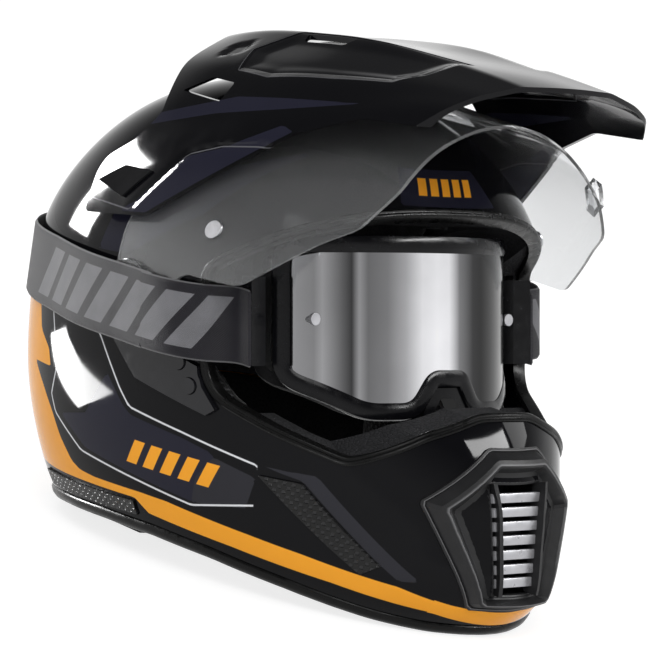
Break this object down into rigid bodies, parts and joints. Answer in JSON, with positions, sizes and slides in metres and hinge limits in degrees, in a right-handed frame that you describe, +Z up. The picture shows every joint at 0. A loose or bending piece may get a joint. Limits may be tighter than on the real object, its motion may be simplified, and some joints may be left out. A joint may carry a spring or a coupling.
{
  "type": "dual sport helmet",
  "caption": "Full-face dual sport helmet with a tilting peak, a raised clear shield, worn goggles on an elastic strap, a vented chin bar and a padded liner.",
  "frame": {"origin": "middle of the bounding box in plan, on the plane that the lower rim stands on", "axes": "+X to the wearer's left, +Y to the back of the helmet, +Z up; the face looks along -Y"},
  "size_m": [0.2748, 0.3546, 0.2878],
  "materials": {
    "shell_gloss": "gloss black lacquer with plain bands",
    "shell_trim": "matte black moulded edge",
    "energy_foam": "black expanded foam",
    "liner_fabric": "brushed knit over soft foam",
    "webbing": "woven black webbing",
    "steel": "satin",
    "shield_clear": "clear polycarbonate, polished",
    "peak_gloss": "gloss, dark with plain bands",
    "matte_black": "matte black moulding",
    "satin_grey": "satin grey",
    "grille_silver": "satin silver",
    "goggle_black": "satin black",
    "lens_mirror": "silver mirror coating",
    "face_foam": "soft face foam with fleece",
    "strap_elastic": "woven elastic band"
  },
  "bodies": {
    "helmet": {"outer_shell": "shell_gloss", "rear_exhausts": "matte_black", "rim_trim": "shell_trim", "eyeport_trim": "shell_trim", "eps_liner": "energy_foam", "comfort_liner": "liner_fabric", "chin_eps": "energy_foam", "chin_liner": "liner_fabric", "neck_roll": "liner_fabric", "chin_rings": "steel", "strap_rivets": "steel", "pivot_screws": "matte_black", "peak_screws": "steel", "chin_vent_frame": "matte_black", "chin_vent_grille": "grille_silver", "side_plate_screws": "steel", "goggle_frame": "goggle_black", "goggle_lens": "lens_mirror", "goggle_foam": "face_foam", "nose_guard": "matte_black", "tear_off_posts": "matte_black", "goggle_strap": "strap_elastic", "strap_slider": "matte_black", "cheek_pad_left": "liner_fabric", "cheek_pad_right": "liner_fabric", "chin_strap_left": "webbing", "chin_strap_right": "webbing", "pivot_plate_left": "matte_black", "pivot_plate_right": "matte_black", "side_plate_left": "matte_black", "side_plate_right": "matte_black", "chin_side_vent_left": "matte_black", "chin_side_vent_right": "matte_black", "rear_side_vent_left": "matte_black", "rear_side_vent_right": "matte_black", "outrigger_left": "goggle_black", "outrigger_right": "goggle_black", "strap_front_left": "strap_elastic", "strap_front_right": "strap_elastic"},
    "shield": {"face_shield": "shield_clear", "shield_tab": "shield_clear", "shield_pins": "matte_black"},
    "peak": {"peak": "peak_gloss", "peak_cap_left": "satin_grey", "peak_cap_right": "satin_grey"},
    "chin_shutter": {"chin_vent_shutter": "matte_black"}
  },
  "joints": [
    {"name": "shield_hinge", "type": "hinge", "parent": "helmet", "child": "shield", "pos_m": [0, 0.0112, 0.14], "axis": [1, 0, 0], "range_deg": [0, 56], "deforming": ["strap_front_left", "strap_front_right"]},
    {"name": "peak_tilt", "type": "hinge", "parent": "helmet", "child": "peak", "pos_m": [0, 0.0447, 0.188], "axis": [-1, 0, 0], "range_deg": [0, 3]},
    {"name": "shutter_slide", "type": "slide", "parent": "helmet", "child": "chin_shutter", "axis": [0, 0, -1], "range_m": [0, 0.008]}
  ]
}
